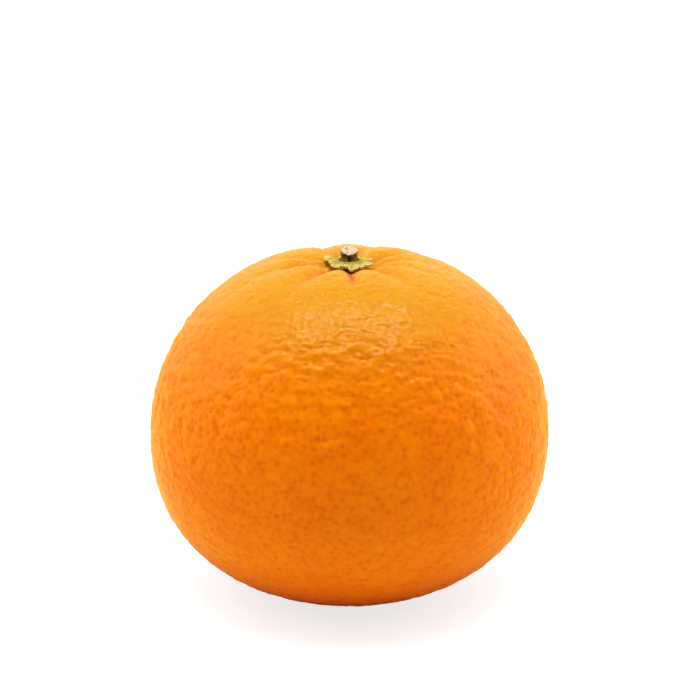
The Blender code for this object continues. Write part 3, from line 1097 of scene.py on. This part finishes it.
# %% Where each coat of the bark goes
citrus_bark, tree, surface = new_finish("citrus_bark")
where = add_node(tree, "ShaderNodeTexCoord").outputs["Object"]
bark_note = add_node(tree, "ShaderNodeAttribute", attribute_name="bark")
rib_share = add_node(
    tree,
    "ShaderNodeMapRange",
    {"From Min": -0.35, "From Max": 0.45},
    {0: bark_note.outputs["Fac"]},
)
up_note = add_node(tree, "ShaderNodeAttribute", attribute_name="up")
foot_share = add_node(
    tree,
    "ShaderNodeMapRange",
    {"From Min": 0.35, "From Max": 0.05, "To Max": 0.7},
    {0: up_note.outputs["Fac"]},
)
cleft_note = add_node(tree, "ShaderNodeAttribute", attribute_name="cleft")
print(len(tree.nodes), "nodes in the citrus bark so far")

# %% Colours and fibres of the citrus bark
BARK_BROWN = linear("3C2808")
BARK_TAN = linear("866C2C")
BARK_GREEN = linear("6A5E28")
BARK_SHADE = linear("2A200E")  # deep in the cleft
FIBRE_WIDTH = 0.2 * MM
FIBRE_HEIGHT = 0.04 * MM

bark_coats = (
    (rib_share.outputs[0], BARK_TAN),
    (foot_share.outputs[0], BARK_GREEN),
    (cleft_note.outputs["Fac"], BARK_SHADE),
)
tree.links.new(lay_coats(tree, BARK_BROWN, bark_coats), surface.inputs["Base Color"])
surface.inputs["Roughness"].default_value = 0.85
fibres = add_node(tree, "ShaderNodeTexNoise", {"Scale": 1 / FIBRE_WIDTH, "Detail": 2}, {0: where})
fibred = add_node(
    tree,
    "ShaderNodeBump",
    {"Strength": 1, "Distance": FIBRE_HEIGHT},
    {"Height": fibres.outputs[0]},
)
tree.links.new(fibred.outputs[0], surface.inputs["Normal"])
print(len(bark_coats), "coats on the bark")

# %% Where each coat of the wood goes
CLOUD_WIDTH = 0.8 * MM
SPECK_WIDTH = 0.32 * MM

clipped_wood, tree, surface = new_finish("clipped_wood")
where = add_node(tree, "ShaderNodeTexCoord").outputs["Object"]
clouds = add_node(tree, "ShaderNodeTexNoise", {"Scale": 1 / CLOUD_WIDTH, "Detail": 3}, {0: where})
specks = add_node(tree, "ShaderNodeTexNoise", {"Scale": 1 / SPECK_WIDTH, "Detail": 2}, {0: where})
speck_share = add_node(
    tree, "ShaderNodeMapRange", {"From Min": 0.57, "From Max": 0.64}, {0: specks.outputs[0]}
)
inward_note = add_node(tree, "ShaderNodeAttribute", attribute_name="inward")
rim_share = add_node(
    tree,
    "ShaderNodeMapRange",
    {"From Min": 0.88, "From Max": 1.0, "To Max": 0.6},
    {0: inward_note.outputs["Fac"]},
)
print("clouds", round(CLOUD_WIDTH / MM, 1), "mm wide, specks", round(SPECK_WIDTH / MM, 2), "mm")

# %% Colours and marks of the clipped wood
WOOD_CREAM = linear("C2B4AE")
WOOD_PINK = linear("AA9892")
WOOD_SPECK = linear("503C2C")
CUT_MARK_HEIGHT = 0.05 * MM

wood_coats = (
    (clouds.outputs[0], WOOD_PINK),
    (speck_share.outputs[0], WOOD_SPECK),
    (rim_share.outputs[0], WOOD_SPECK),
)
tree.links.new(lay_coats(tree, WOOD_CREAM, wood_coats), surface.inputs["Base Color"])
surface.inputs["Roughness"].default_value = 0.8
cut_marks = add_node(
    tree,
    "ShaderNodeBump",
    {"Strength": 1, "Distance": CUT_MARK_HEIGHT},
    {"Height": specks.outputs[0]},
)
tree.links.new(cut_marks.outputs[0], surface.inputs["Normal"])
print(len(wood_coats), "coats on the wood")

# %% Put the stem in place
put_in_place("stem_stub", stem_mesh, citrus_bark, "stem")
stem_mesh.materials.append(clipped_wood)
stem_mesh.polygons.foreach_set("material_index", on_cap.astype(np.int32))

# %% [markdown]
# ## Measure and finish
# Dressing must not change the size of the part. We print the box of the solids and the box of what
# we made side by side, where the two are easy to compare.

# %% Measure and finish
visual_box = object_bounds()
for title, (low, high) in (("solid", cad_box), ("dressed", visual_box)):
    print(title, "box", [round((b - a) / MM, 2) for a, b in zip(low, high)], "mm")
